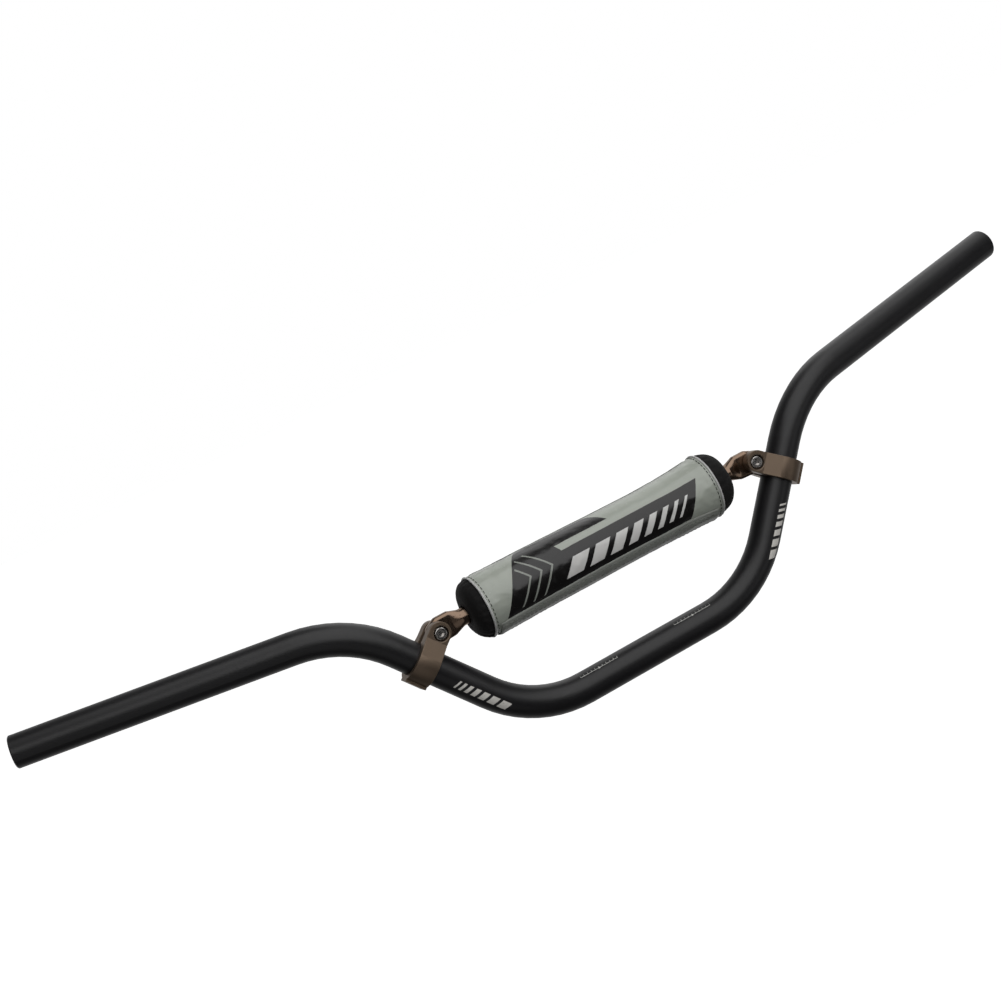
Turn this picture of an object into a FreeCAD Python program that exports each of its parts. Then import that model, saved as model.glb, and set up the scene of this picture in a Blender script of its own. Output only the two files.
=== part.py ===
import FreeCAD, Part
import math
import os

# Off-road handlebar with a bolted crossbar and a round crossbar pad.
# Millimetres. The origin is the centre of the straight middle of the bar, which the triple-clamp
# grips. X runs along that middle to the right, Y points back to the rider (the grips sweep that
# way) and Z points up along the plane of the two risers.

Vector = FreeCAD.Vector
X_AXIS = Vector(1, 0, 0)
Y_AXIS = Vector(0, 1, 0)
Z_AXIS = Vector(0, 0, 1)
ORIGIN = Vector(0, 0, 0)

# --- bar tube ---------------------------------------------------------------------------------
BAR_D = 22.2                              # 7/8 in bar
BAR_WALL = 4.0
BAR_R = BAR_D / 2
BORE_R = BAR_R - BAR_WALL
INNER_VERTEX = Vector(89.0, 0, 0)         # where the middle and the riser would meet
OUTER_VERTEX = Vector(180.5, 0, 112.0)    # where the riser and the grip section would meet
BAR_END = Vector(397.5, 49.0, 134.5)      # centre of the right end face
INNER_BEND_R = 81.0
OUTER_BEND_R = 85.0
END_CHAMFER = 0.8

# --- crossbar clamps --------------------------------------------------------------------------
CLAMP_ALONG_RISER = 87.05                 # clamp bolt's place along the riser, from the inner vertex
CLAMP_FIT = 0.03                          # radial gap that keeps strap and bar just apart
STRAP_R = 14.9                            # outside of the strap round the bar
STRAP_LOW = 6.9                           # strap edge below the bolt, along the riser
STRAP_HIGH = 8.3                          # strap edge above the bolt, along the riser
FOOT_DEPTH = 15.7                         # flat foot, measured from the bar axis
FOOT_HALF_WIDTH = 5.6
EAR_HALF_SPAN = 10.8                      # outer faces of the two ears
EAR_START = 16.0                          # where the sloping cheek becomes the flat ear
BOLT_FROM_BAR = 21.8                      # bolt axis to bar axis
SLOT_HALF = 3.2                           # gap between the ears

# --- clamp bolt: M5 socket cap screw ----------------------------------------------------------
BOLT_R = 2.5
BOLT_HOLE_R = 2.75
HEAD_R = 4.25
HEAD_HEIGHT = 5.0
HEAD_ROUND = 0.7
HEAD_RECESS = 0.6                         # head top below the ear's face
HEX_FLATS = 4.0
HEX_DEPTH = 2.5
COUNTERBORE_R = 5.1
COUNTERBORE_CHAMFER = 0.4
BOLT_LENGTH = 16.0
THREAD_FIT = 0.03                         # radial gap of the threaded ear

# --- crossbar ---------------------------------------------------------------------------------
CROSSBAR_R = 6.0
CROSSBAR_Z = 82.5
ROD_HALF = 108.6                          # half length of the round part
TONGUE_START = 115.2
TONGUE_HEIGHT = 17.2
TONGUE_THICKNESS = 6.3
TONGUE_EDGE_R = 2.2
EYE_R = 8.0
EYE_HOLE_R = 2.75
TAPER_SIDE_DEG = 50.0                     # rod arc, to each side, that tapers into a flat side
TAPER_CORNER_DEG = 20.0                   # rod arc that tapers into a rounded corner
TAPER_OVERLAP = 0.5                       # the taper reaches this far into rod and tongue,
TAPER_INSET = 0.02                        # just under their surfaces

# --- crossbar pad -----------------------------------------------------------------------------
PAD_HALF = 92.5                           # half length of the vinyl cover, seam to seam
COVER_MID_R = 20.4                        # outside of the cover at its waist
COVER_END_R = 21.4                        # outside of the cover at its end seams
COVER_WALL = 0.8
COVER_SLIT_DEG = 3.0                      # the cover's open edge, under the closure flap
FOAM_GAP = 0.4                            # cover turns on the foam
FOAM_HALF = 102.4
FOAM_END_ROUND = 9.0
FOAM_BORE_GAP = 0.3                       # foam slides on the crossbar
FOAM_SLIT = 1.2
PIPING_R = 1.2
PIPING_RING_R = 21.3
CAP_SEAM_R = 20.9
CAP_FACE_R = 13.0                         # where the cap's dome becomes its flat face
CAP_DEPTH = 11.5
CAP_WALL = 1.0
CAP_HOLE_R = 6.8
CLOSURE_DEG = 72.0                        # middle of the closure, below the front of the pad
FLAP_SPAN_DEG = 66.0
STRIP_SPAN_DEG = 40.0
STRIP_THICKNESS = 0.45
FLAP_THICKNESS = 0.7
LAYER_GAP = 0.12
STRIP_HALF = 86.0
FLAP_HALF = 91.0


def unit(vector):
    copy = Vector(vector)
    return copy.normalize()


def riser_direction():
    return unit(OUTER_VERTEX - INNER_VERTEX)


def bend_setback(before, after, radius):
    """Distance from a bend's vertex to where its arc begins."""
    turn = before.getAngle(after)
    return radius * math.tan(turn / 2)


def ring_face(centre, normal, outer, inner):
    outside = Part.Wire(Part.makeCircle(outer, centre, normal))
    inside = Part.Wire(Part.makeCircle(inner, centre, normal))
    return Part.Face([outside, inside])


def straight_tube(start, end):
    direction = unit(end - start)
    return ring_face(start, direction, BAR_R, BORE_R).extrude(end - start)


def bent_tube(start, before, after, radius):
    turn_axis = before.cross(after)
    towards_centre = unit(turn_axis.cross(before))
    centre = start + towards_centre * radius
    profile = ring_face(start, before, BAR_R, BORE_R)
    return profile.revolve(centre, unit(turn_axis), math.degrees(before.getAngle(after)))


def end_chamfer_cutter(end, direction):
    """Ring that breaks the outer edge of an end face."""
    base = end - direction * END_CHAMFER
    blank = Part.makeCylinder(BAR_R + 1, END_CHAMFER, base, direction)
    core = Part.makeCone(BAR_R, BAR_R - END_CHAMFER, END_CHAMFER, base, direction)
    return blank.cut(core)


def handlebar_tube():
    riser = riser_direction()
    grip = unit(BAR_END - OUTER_VERTEX)
    inner_setback = bend_setback(X_AXIS, riser, INNER_BEND_R)
    outer_setback = bend_setback(riser, grip, OUTER_BEND_R)
    middle_end = INNER_VERTEX - X_AXIS * inner_setback
    riser_start = INNER_VERTEX + riser * inner_setback
    riser_end = OUTER_VERTEX - riser * outer_setback
    grip_start = OUTER_VERTEX + grip * outer_setback
    right_side = [
        bent_tube(middle_end, X_AXIS, riser, INNER_BEND_R),
        straight_tube(riser_start, riser_end),
        bent_tube(riser_end, riser, grip, OUTER_BEND_R),
        straight_tube(grip_start, BAR_END).cut(end_chamfer_cutter(BAR_END, grip)),
    ]
    left_side = [mirrored(piece) for piece in right_side]
    middle = straight_tube(Vector(-middle_end.x, 0, 0), middle_end)
    return middle.multiFuse(right_side + left_side).removeSplitter()


def mirrored(shape):
    return shape.mirror(ORIGIN, X_AXIS)


def clamp_placement():
    """Local x runs from the bar to the bolt, local y up the riser, local z along row Y."""
    riser = riser_direction()
    to_bolt = unit(riser.cross(Y_AXIS))
    if to_bolt.x > 0:
        to_bolt = to_bolt * -1
    foot = INNER_VERTEX + riser * CLAMP_ALONG_RISER
    matrix = FreeCAD.Matrix(
        to_bolt.x, riser.x, Y_AXIS.x, foot.x,
        to_bolt.y, riser.y, Y_AXIS.y, foot.y,
        to_bolt.z, riser.z, Y_AXIS.z, foot.z,
        0, 0, 0, 1)
    return FreeCAD.Placement(matrix)


def placed(shape):
    moved = shape.copy()
    moved.Placement = clamp_placement()
    return moved


def strap_outline():
    """Outer outline of the clamp across the riser, in local x and z."""
    corner_distance = math.hypot(EAR_START, EAR_HALF_SPAN)
    tangent_angle = math.atan2(EAR_HALF_SPAN, EAR_START) + math.acos(STRAP_R / corner_distance)
    tangent = Vector(STRAP_R * math.cos(tangent_angle), 0, STRAP_R * math.sin(tangent_angle))
    foot_x = -math.sqrt(STRAP_R ** 2 - FOOT_HALF_WIDTH ** 2)
    foot_top = Vector(foot_x, 0, FOOT_HALF_WIDTH)
    foot_corner = Vector(-FOOT_DEPTH, 0, FOOT_HALF_WIDTH)
    side_angle = (tangent_angle + math.pi - math.asin(FOOT_HALF_WIDTH / STRAP_R)) / 2
    side = Vector(STRAP_R * math.cos(side_angle), 0, STRAP_R * math.sin(side_angle))
    ear_corner = Vector(EAR_START, 0, EAR_HALF_SPAN)
    ear_tip = Vector(BOLT_FROM_BAR + 2 * EYE_R, 0, EAR_HALF_SPAN)
    upper = [
        Part.LineSegment(foot_corner, foot_top),
        Part.Arc(foot_top, side, tangent),
        Part.LineSegment(tangent, ear_corner),
        Part.LineSegment(ear_corner, ear_tip),
    ]
    edges = [curve.toShape() for curve in upper]
    edges += [edge.mirror(ORIGIN, Z_AXIS) for edge in edges]
    ends = (foot_corner, ear_tip)
    edges += [Part.LineSegment(Vector(p.x, 0, -p.z), p).toShape() for p in ends]
    return Part.Face(Part.Wire(Part.__sortEdges__(edges)))


def ear_plan():
    """Outline of strap and ears seen along the bolt, with round ear ends."""
    end_r = (STRAP_LOW + STRAP_HIGH) / 2
    low_start = Vector(-2 * FOOT_DEPTH, -STRAP_LOW, 0)
    low_end = Vector(BOLT_FROM_BAR, -STRAP_LOW, 0)
    tip = Vector(BOLT_FROM_BAR + end_r, STRAP_HIGH - end_r, 0)
    high_end = Vector(BOLT_FROM_BAR, STRAP_HIGH, 0)
    high_start = Vector(-2 * FOOT_DEPTH, STRAP_HIGH, 0)
    curves = [
        Part.LineSegment(low_start, low_end),
        Part.Arc(low_end, tip, high_end),
        Part.LineSegment(high_end, high_start),
        Part.LineSegment(high_start, low_start),
    ]
    return Part.Face(Part.Wire([curve.toShape() for curve in curves]))


def crossbar_clamp():
    """Right clamp in row coordinates: a strap round the riser with two ears for the bolt."""
    strap = strap_outline()
    strap.translate(Vector(0, -STRAP_LOW, 0))
    body = strap.extrude(Y_AXIS * (STRAP_LOW + STRAP_HIGH))
    plan = ear_plan()
    plan.translate(Vector(0, 0, -2 * EAR_HALF_SPAN))
    body = body.common(plan.extrude(Z_AXIS * 4 * EAR_HALF_SPAN))
    bar_hole = Part.makeCylinder(BAR_R + CLAMP_FIT, 4 * STRAP_HIGH, Vector(0, -2 * STRAP_HIGH, 0), Y_AXIS)
    slot_corner = Vector(0, -2 * STRAP_HIGH, -SLOT_HALF)
    slot = Part.makeBox(3 * BOLT_FROM_BAR, 4 * STRAP_HIGH, 2 * SLOT_HALF, slot_corner)
    face = Vector(BOLT_FROM_BAR, 0, -EAR_HALF_SPAN)
    counterbore = Part.makeCylinder(COUNTERBORE_R, HEAD_RECESS + HEAD_HEIGHT, face, Z_AXIS)
    rim_r = COUNTERBORE_R + COUNTERBORE_CHAMFER
    rim = Part.makeCone(rim_r, COUNTERBORE_R, COUNTERBORE_CHAMFER, face, Z_AXIS)
    clearance = Part.makeCylinder(BOLT_HOLE_R, EAR_HALF_SPAN, face, Z_AXIS)
    thread = Part.makeCylinder(BOLT_R + THREAD_FIT, EAR_HALF_SPAN, Vector(BOLT_FROM_BAR, 0, 0), Z_AXIS)
    body = body.cut(Part.makeCompound([bar_hole, slot]))
    for cutter in (counterbore, rim, clearance, thread):
        body = body.cut(cutter)
    return placed(body.removeSplitter())


def hexagon_prism(flats, depth, base):
    corner_r = flats / math.sqrt(3)
    points = []
    for side in range(7):
        angle = math.radians(60 * side)
        points.append(base + Vector(corner_r * math.cos(angle), corner_r * math.sin(angle), 0))
    return Part.Face(Part.makePolygon(points)).extrude(Z_AXIS * depth)


def clamp_bolt():
    """Socket cap screw that pinches the ears onto the crossbar's eye."""
    head_top = Vector(BOLT_FROM_BAR, 0, -EAR_HALF_SPAN + HEAD_RECESS)
    head = Part.makeCylinder(HEAD_R, HEAD_HEIGHT, head_top, Z_AXIS)
    top_edges = [edge for edge in head.Edges if abs(edge.CenterOfMass.z - head_top.z) < 0.01]
    head = head.makeFillet(HEAD_ROUND, top_edges)
    shank = Part.makeCylinder(BOLT_R, BOLT_LENGTH, head_top + Z_AXIS * HEAD_HEIGHT, Z_AXIS)
    socket = hexagon_prism(HEX_FLATS, HEX_DEPTH, head_top)
    return placed(head.fuse(shank).cut(socket).removeSplitter())


def bolt_centre():
    """Where the right clamp bolt crosses the plane of the risers."""
    return clamp_placement().multVec(Vector(BOLT_FROM_BAR, 0, 0))


def rounded_rectangle(x, height, thickness, corner):
    """Closed wire across the crossbar, starting on the flat front and going round."""
    half_y = thickness / 2
    half_z = height / 2
    edges = []
    for turn in range(4):
        a_y, a_z = (half_y, half_z) if turn % 2 == 0 else (half_z, half_y)
        spin = FreeCAD.Rotation(X_AXIS, 90 * turn)
        slant = corner * (1 - math.sqrt(0.5))
        side_low = Vector(0, a_y, -a_z + corner)
        side_high = Vector(0, a_y, a_z - corner)
        corner_mid = Vector(0, a_y - slant, a_z - slant)
        corner_end = Vector(0, a_y - corner, a_z)
        points = [spin.multVec(p) + Vector(x, 0, CROSSBAR_Z)
                  for p in (side_low, side_high, corner_mid, corner_end)]
        edges.append(Part.LineSegment(points[0], points[1]).toShape())
        edges.append(Part.Arc(points[1], points[2], points[3]).toShape())
    return Part.Wire(edges)


def split_circle(x, radius, side_half_angle):
    """The rod's end circle, split to match the eight edges of a rounded rectangle."""
    edges = []
    for turn in range(4):
        half = side_half_angle if turn % 2 == 0 else 90 - side_half_angle - TAPER_CORNER_DEG
        next_half = 90 - half - TAPER_CORNER_DEG
        spans = ((-half, half), (half, 90 - next_half))
        for start, end in spans:
            angles = [math.radians(90 * turn + a) for a in (start, (start + end) / 2, end)]
            points = [Vector(x, radius * math.cos(a), CROSSBAR_Z + radius * math.sin(a)) for a in angles]
            edges.append(Part.Arc(*points).toShape())
    return Part.Wire(edges)


def tongue_plan():
    """Outline of the right tongue and eye in the plane of the risers."""
    bolt = bolt_centre()
    top = CROSSBAR_Z + TONGUE_HEIGHT / 2
    bottom = CROSSBAR_Z - TONGUE_HEIGHT / 2
    start_top = Vector(TONGUE_START, 0, top)
    start_bottom = Vector(TONGUE_START, 0, bottom)
    top_turn = math.radians(70)
    eye_top = bolt + Vector(EYE_R * math.cos(top_turn), 0, EYE_R * math.sin(top_turn))
    eye_bottom = bolt + Vector(0, 0, -EYE_R)
    eye_tip = bolt + X_AXIS * EYE_R
    shoulder = Vector(bolt.x - 2, 0, top)
    curves = [
        Part.LineSegment(start_bottom, start_top),
        Part.LineSegment(start_top, shoulder),
        Part.LineSegment(shoulder, eye_top),
        Part.Arc(eye_top, eye_tip, eye_bottom),
        Part.LineSegment(eye_bottom, start_bottom),
    ]
    return Part.Face(Part.Wire([curve.toShape() for curve in curves]))


def crossbar_tongue():
    """Forged end of the rod: a taper, a flat tongue and its bolt eye."""
    start = split_circle(ROD_HALF - TAPER_OVERLAP, CROSSBAR_R - TAPER_INSET, TAPER_SIDE_DEG)
    end = rounded_rectangle(
        TONGUE_START + TAPER_OVERLAP,
        TONGUE_HEIGHT - 2 * TAPER_INSET,
        TONGUE_THICKNESS - 2 * TAPER_INSET,
        TONGUE_EDGE_R)
    taper = Part.makeLoft([start, end], True, True)
    plan = tongue_plan()
    plan.translate(Y_AXIS * (-TONGUE_THICKNESS / 2))
    plate = plan.extrude(Y_AXIS * TONGUE_THICKNESS)
    rim = [edge for edge in plate.Edges
           if abs(abs(edge.CenterOfMass.y) - TONGUE_THICKNESS / 2) < 0.01
           and edge.CenterOfMass.x > TONGUE_START + 0.01]
    plate = plate.makeFillet(TONGUE_EDGE_R, rim)
    bolt = bolt_centre()
    hole_start = bolt - Y_AXIS * TONGUE_THICKNESS
    hole = Part.makeCylinder(EYE_HOLE_R, 2 * TONGUE_THICKNESS, hole_start, Y_AXIS)
    return taper.fuse(plate).cut(hole)


def crossbar():
    rod = Part.makeCylinder(CROSSBAR_R, 2 * ROD_HALF, Vector(-ROD_HALF, 0, CROSSBAR_Z), X_AXIS)
    right = crossbar_tongue()
    return rod.multiFuse([right, mirrored(right)]).removeSplitter()


def pad_axis_point(x):
    return Vector(x, 0, CROSSBAR_Z)


def turned_about_crossbar(points, arcs=()):
    """Solid of revolution about the crossbar from (x, radius) points; arcs maps a point's index
    to a through point, and makes the edge that starts there an arc."""
    arcs = dict(arcs)
    corners = [Vector(x, 0, CROSSBAR_Z + radius) for x, radius in points]
    edges = []
    for index, corner in enumerate(corners):
        following = corners[(index + 1) % len(corners)]
        if index in arcs:
            x, radius = arcs[index]
            curve = Part.Arc(corner, Vector(x, 0, CROSSBAR_Z + radius), following)
        else:
            curve = Part.LineSegment(corner, following)
        edges.append(curve.toShape())
    profile = Part.Face(Part.Wire(edges))
    return profile.revolve(pad_axis_point(0), X_AXIS, 360)


def closure_wedge(middle_deg, span_deg, half_length):
    """Wedge about the crossbar, centred middle_deg below the pad's front."""
    reach = 3 * COVER_END_R
    start = math.radians(180 + middle_deg - span_deg / 2)
    middle = math.radians(180 + middle_deg)
    end = math.radians(180 + middle_deg + span_deg / 2)
    rim = [Vector(-half_length, reach * math.cos(a), CROSSBAR_Z + reach * math.sin(a))
           for a in (start, middle, end)]
    centre = pad_axis_point(-half_length)
    edges = [
        Part.LineSegment(centre, rim[0]).toShape(),
        Part.Arc(*rim).toShape(),
        Part.LineSegment(rim[2], centre).toShape(),
    ]
    return Part.Face(Part.Wire(edges)).extrude(X_AXIS * 2 * half_length)


def pad_layer(lift, thickness, half_length):
    """Shell that follows the cover's waisted outside, lift above it."""
    ends = COVER_END_R + lift
    waist = COVER_MID_R + lift
    points = [
        (-half_length, ends),
        (half_length, ends),
        (half_length, ends + thickness),
        (-half_length, ends + thickness),
    ]
    arcs = {0: (0, waist), 2: (0, waist + thickness)}
    return turned_about_crossbar(points, arcs)


def pad_cover():
    shell = pad_layer(-COVER_WALL, COVER_WALL, PAD_HALF)
    return shell.cut(closure_wedge(CLOSURE_DEG, COVER_SLIT_DEG, PAD_HALF + 1))


def pad_loop_strip():
    layer = pad_layer(LAYER_GAP, STRIP_THICKNESS, STRIP_HALF)
    return layer.common(closure_wedge(CLOSURE_DEG, STRIP_SPAN_DEG, STRIP_HALF))


def pad_hook_strip():
    layer = pad_layer(2 * LAYER_GAP + STRIP_THICKNESS, STRIP_THICKNESS, STRIP_HALF)
    return layer.common(closure_wedge(CLOSURE_DEG, STRIP_SPAN_DEG, STRIP_HALF))


def pad_closure_flap():
    lift = 3 * LAYER_GAP + 2 * STRIP_THICKNESS
    layer = pad_layer(lift, FLAP_THICKNESS, FLAP_HALF)
    return layer.common(closure_wedge(CLOSURE_DEG, FLAP_SPAN_DEG, FLAP_HALF))


def pad_foam_core():
    """Round foam sleeve with a lengthways slit, so that it can be pressed over the crossbar."""
    outer = COVER_MID_R - COVER_WALL - FOAM_GAP
    bore = CROSSBAR_R + FOAM_BORE_GAP
    foam = Part.makeCylinder(outer, 2 * FOAM_HALF, pad_axis_point(-FOAM_HALF), X_AXIS)
    rims = [edge for edge in foam.Edges if abs(abs(edge.CenterOfMass.x) - FOAM_HALF) < 0.01]
    foam = foam.makeFillet(FOAM_END_ROUND, rims)
    hole = Part.makeCylinder(bore, 4 * FOAM_HALF, pad_axis_point(-2 * FOAM_HALF), X_AXIS)
    slit_corner = Vector(-2 * FOAM_HALF, 0, CROSSBAR_Z - FOAM_SLIT / 2)
    slit = Part.makeBox(4 * FOAM_HALF, 2 * outer, FOAM_SLIT, slit_corner)
    slit.rotate(pad_axis_point(0), X_AXIS, 180 + CLOSURE_DEG)
    return foam.cut(hole).cut(slit)


def pad_end_cap():
    """Right cap: sewn fabric dome from the piping seam to the crossbar."""
    seam = PAD_HALF + 2 * (PIPING_R + LAYER_GAP)
    face = seam + CAP_DEPTH - 2 * PIPING_R
    points = [
        (seam, CAP_SEAM_R - CAP_WALL),
        (seam, CAP_SEAM_R),
        (face, CAP_FACE_R),
        (face, CAP_HOLE_R),
        (face - CAP_WALL, CAP_HOLE_R),
        (face - CAP_WALL, CAP_FACE_R - CAP_WALL),
    ]
    bulge_x = seam + 0.72 * (face - seam)
    bulge_r = CAP_FACE_R + 0.66 * (CAP_SEAM_R - CAP_FACE_R)
    arcs = {1: (bulge_x, bulge_r), 5: (bulge_x - CAP_WALL, bulge_r - CAP_WALL)}
    return turned_about_crossbar(points, arcs)


def pad_piping():
    """Right piping cord, caught in the seam between cover and cap."""
    ring_x = PAD_HALF + PIPING_R + LAYER_GAP
    return Part.makeTorus(PIPING_RING_R, PIPING_R, pad_axis_point(ring_x), X_AXIS)


def build():
    clamp = crossbar_clamp()
    bolt = clamp_bolt()
    cap = pad_end_cap()
    piping = pad_piping()
    return {
        "handlebar_tube": handlebar_tube(),
        "crossbar": crossbar(),
        "right_crossbar_clamp": clamp,
        "left_crossbar_clamp": mirrored(clamp),
        "right_clamp_bolt": bolt,
        "left_clamp_bolt": mirrored(bolt),
        "pad_foam_core": pad_foam_core(),
        "pad_cover": pad_cover(),
        "pad_right_end_cap": cap,
        "pad_left_end_cap": mirrored(cap),
        "pad_right_piping": piping,
        "pad_left_piping": mirrored(piping),
        "pad_loop_strip": pad_loop_strip(),
        "pad_hook_strip": pad_hook_strip(),
        "pad_closure_flap": pad_closure_flap(),
    }


os.makedirs("parts", exist_ok=True)
for name, shape in build().items():
    solid = shape.Solids[0] if len(shape.Solids) == 1 else shape
    print(name, "solids", len(shape.Solids), "valid", solid.isValid(), "volume", round(solid.Volume, 1))
    solid.exportStep(f"parts/{name}.step")
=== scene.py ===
import math

import bmesh
import bpy
from mathutils import Matrix, Vector, noise
from mathutils.bvhtree import BVHTree


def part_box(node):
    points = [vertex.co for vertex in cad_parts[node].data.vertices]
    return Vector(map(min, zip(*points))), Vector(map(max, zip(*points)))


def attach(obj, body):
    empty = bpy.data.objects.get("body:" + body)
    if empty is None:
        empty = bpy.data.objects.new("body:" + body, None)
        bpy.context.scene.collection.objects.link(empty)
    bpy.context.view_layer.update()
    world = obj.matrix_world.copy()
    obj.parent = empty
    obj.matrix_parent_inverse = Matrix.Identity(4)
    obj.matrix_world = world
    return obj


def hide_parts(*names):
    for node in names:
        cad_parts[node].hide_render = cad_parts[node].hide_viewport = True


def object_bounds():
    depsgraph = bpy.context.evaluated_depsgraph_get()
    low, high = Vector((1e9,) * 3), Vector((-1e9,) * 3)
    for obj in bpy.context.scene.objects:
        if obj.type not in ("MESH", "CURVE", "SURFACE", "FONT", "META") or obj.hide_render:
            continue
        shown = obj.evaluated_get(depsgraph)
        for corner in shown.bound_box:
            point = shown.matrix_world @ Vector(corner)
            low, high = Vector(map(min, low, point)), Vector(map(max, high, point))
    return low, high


# Looks of an off-road handlebar with a bolted crossbar and a round crossbar pad. Metres, in the
# CAD's own frame: X to the right, Y back to the rider, Z up along the plane of the risers.
# Angles round the crossbar or the bar run from the front (-Y) up over the top.

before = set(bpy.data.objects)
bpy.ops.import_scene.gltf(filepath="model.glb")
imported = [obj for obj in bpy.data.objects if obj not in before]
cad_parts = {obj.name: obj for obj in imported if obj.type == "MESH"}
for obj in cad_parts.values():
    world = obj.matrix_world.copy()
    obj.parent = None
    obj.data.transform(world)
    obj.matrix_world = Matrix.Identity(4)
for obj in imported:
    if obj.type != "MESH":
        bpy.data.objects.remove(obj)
cad_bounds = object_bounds()
MM = 0.001

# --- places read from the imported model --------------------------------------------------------
foam_low, foam_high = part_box("pad_foam_core")
AXIS_Z = (foam_low.z + foam_high.z) / 2
TUBE_R = -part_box("handlebar_tube")[0].z
LEFT_FACE_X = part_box("pad_left_end_cap")[0].x
RIGHT_FACE_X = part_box("pad_right_end_cap")[1].x

# --- pad --------------------------------------------------------------------------------------
LEFT_PIPING_X = -93.7 * MM
RIGHT_PIPING_X = 88.3 * MM                # the cover sits a little to the left on its foam
PIPING_R = 0.78 * MM
COVER_WALL = 0.8 * MM
# x and radius of the cover's outside, over the top and along the bottom, mm
COVER_TOP = ((-94, 21.9), (-80, 21.5), (-63, 21.2), (-20, 20.4), (3, 19.9), (35, 19.3),
             (57, 19.2), (70, 19.8), (81, 21.0), (89, 22.6))
COVER_BOTTOM = ((-94, 21.4), (-80, 21.2), (-60, 20.9), (0, 21.1), (30, 21.3), (60, 21.8),
                (80, 22.6), (89, 23.6))
CLOSURE_DEG = -72.0
SLIT_DEG = 3.0
FLAP_TOP_DEG = ((-91, -38.5), (-40, -36), (10, -35), (60, -38.5), (86, -43))
FLAP_BOTTOM_DEG = -105.0
STRIP_HALF_DEG = 20.0
FOAM_R = 18.0 * MM
FOAM_BORE = 6.3 * MM
CAP_HOLE_R = 6.55 * MM
STITCH_R = 0.3 * MM
STITCH_PITCH = 3.3 * MM
GROOVE_FROM_PIPING = 2.1 * MM
SEAM_FROM_PIPING = 1.6 * MM               # where the cover's radius is read for welts and caps
TAPE_WALL = 0.4 * MM
FLAP_WALL = 0.7 * MM
CAP_WALL = 0.7 * MM
RAY_FROM = 40 * MM                        # rays onto the pad start this far from the axis
CLOTH_FRAMES = 20
CLOTH_PRESSURE = 4.0

# --- camera and light: the photograph's viewing angle -----------------------------------------
CAMERA_PLACE = Vector((-0.4367, -1.2282, 0.3134))
CAMERA_RIGHT = Vector((0.845, -0.327, -0.424))
CAMERA_UP = Vector((0.444, -0.013, 0.896))
CAMERA_LOOK = Vector((0.299, 0.945, -0.134))
CAMERA_LENS = 70.60
SENSOR = 36.0
KEY_LIFT = math.radians(47)               # the big soft box stands this far above the camera
GLOW_POWER = 2.2                          # how fast the surroundings darken behind the camera
GLOW_BRIGHT = 0.80
GLOW_LEAST = 0.03
FLOOR_Z = -1.4
FLOOR_HALF = 30


def line_value(table, x):
    """Straight-line value at x of a short list of (x, value) pairs."""
    if x <= table[0][0]:
        return table[0][1]
    for (x0, v0), (x1, v1) in zip(table, table[1:]):
        if x <= x1:
            return v0 + (v1 - v0) * (x - x0) / (x1 - x0)
    return table[-1][1]


def around(x, degrees, radius):
    """Point at that angle and distance from the crossbar's axis."""
    a = math.radians(degrees)
    return Vector((x, -radius * math.cos(a), AXIS_Z + radius * math.sin(a)))


def away_at(degrees):
    """Direction straight out from the crossbar's axis at that angle."""
    return around(0, degrees, 1.0) - around(0, degrees, 0.0)


def cover_radius(x, degrees):
    """Outside of the cover, which hangs a little low and flares at its ends."""
    top, bottom = line_value(COVER_TOP, x / MM), line_value(COVER_BOTTOM, x / MM)
    return MM * ((top + bottom) / 2 + (top - bottom) / 2 * math.sin(math.radians(degrees)))


# --- mesh building ----------------------------------------------------------------------------
def new_object(name, vertices, faces):
    mesh = bpy.data.meshes.new(name)
    mesh.from_pydata([tuple(v) for v in vertices], [], faces)
    mesh.validate()
    mesh.update()
    for polygon in mesh.polygons:
        polygon.use_smooth = True
    obj = bpy.data.objects.new(name, mesh)
    bpy.context.scene.collection.objects.link(obj)
    return obj


def grid_faces(rows, columns, ring, first=0):
    """Quads of a rows x columns grid of points; a ring joins its last column to its first."""
    faces = []
    for r in range(rows - 1):
        for c in range(columns if ring else columns - 1):
            d = (c + 1) % columns
            a, b = first + r * columns, first + (r + 1) * columns
            faces.append((a + c, a + d, b + d, b + c))
    return faces


def outward(obj):
    """Turn every face of a closed mesh outward."""
    mesh = obj.data
    bm = bmesh.new()
    bm.from_mesh(mesh)
    bmesh.ops.recalc_face_normals(bm, faces=bm.faces)
    bm.to_mesh(mesh)
    bm.free()
    return obj


def modifier(obj, kind, **settings):
    """Add a modifier of that kind with those settings."""
    made = obj.modifiers.new(kind.title().replace("_", ""), kind)
    for key, value in settings.items():
        setattr(made, key, value)
    return made


def tube_along(points, radii, sides, closed=False):
    """Vertices and faces of a round tube that follows points."""
    vertices, count = [], len(points)
    for i, point in enumerate(points):
        before = points[i - 1] if (closed or i > 0) else points[i]
        after = points[(i + 1) % count] if (closed or i < count - 1) else points[i]
        tangent = (after - before).normalized()
        side = tangent.cross(Vector((0.13, 0.21, 0.97))).normalized()
        up = side.cross(tangent)
        for k in range(sides):
            a = 2 * math.pi * k / sides
            vertices.append(point + (side * math.cos(a) + up * math.sin(a)) * radii[i])
    faces = grid_faces(count, sides, True)
    if closed:
        last = (count - 1) * sides
        faces += [(last + k, last + (k + 1) % sides, (k + 1) % sides, k) for k in range(sides)]
    else:
        faces.append(tuple(range(sides)))
        faces.append(tuple(reversed(range((count - 1) * sides, count * sides))))
    return vertices, faces


def joined(name, parts):
    """One object from many (vertices, faces) parts."""
    vertices, faces = [], []
    for part_vertices, part_faces in parts:
        first = len(vertices)
        vertices += part_vertices
        faces += [tuple(first + i for i in face) for face in part_faces]
    return outward(new_object(name, vertices, faces))


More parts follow.
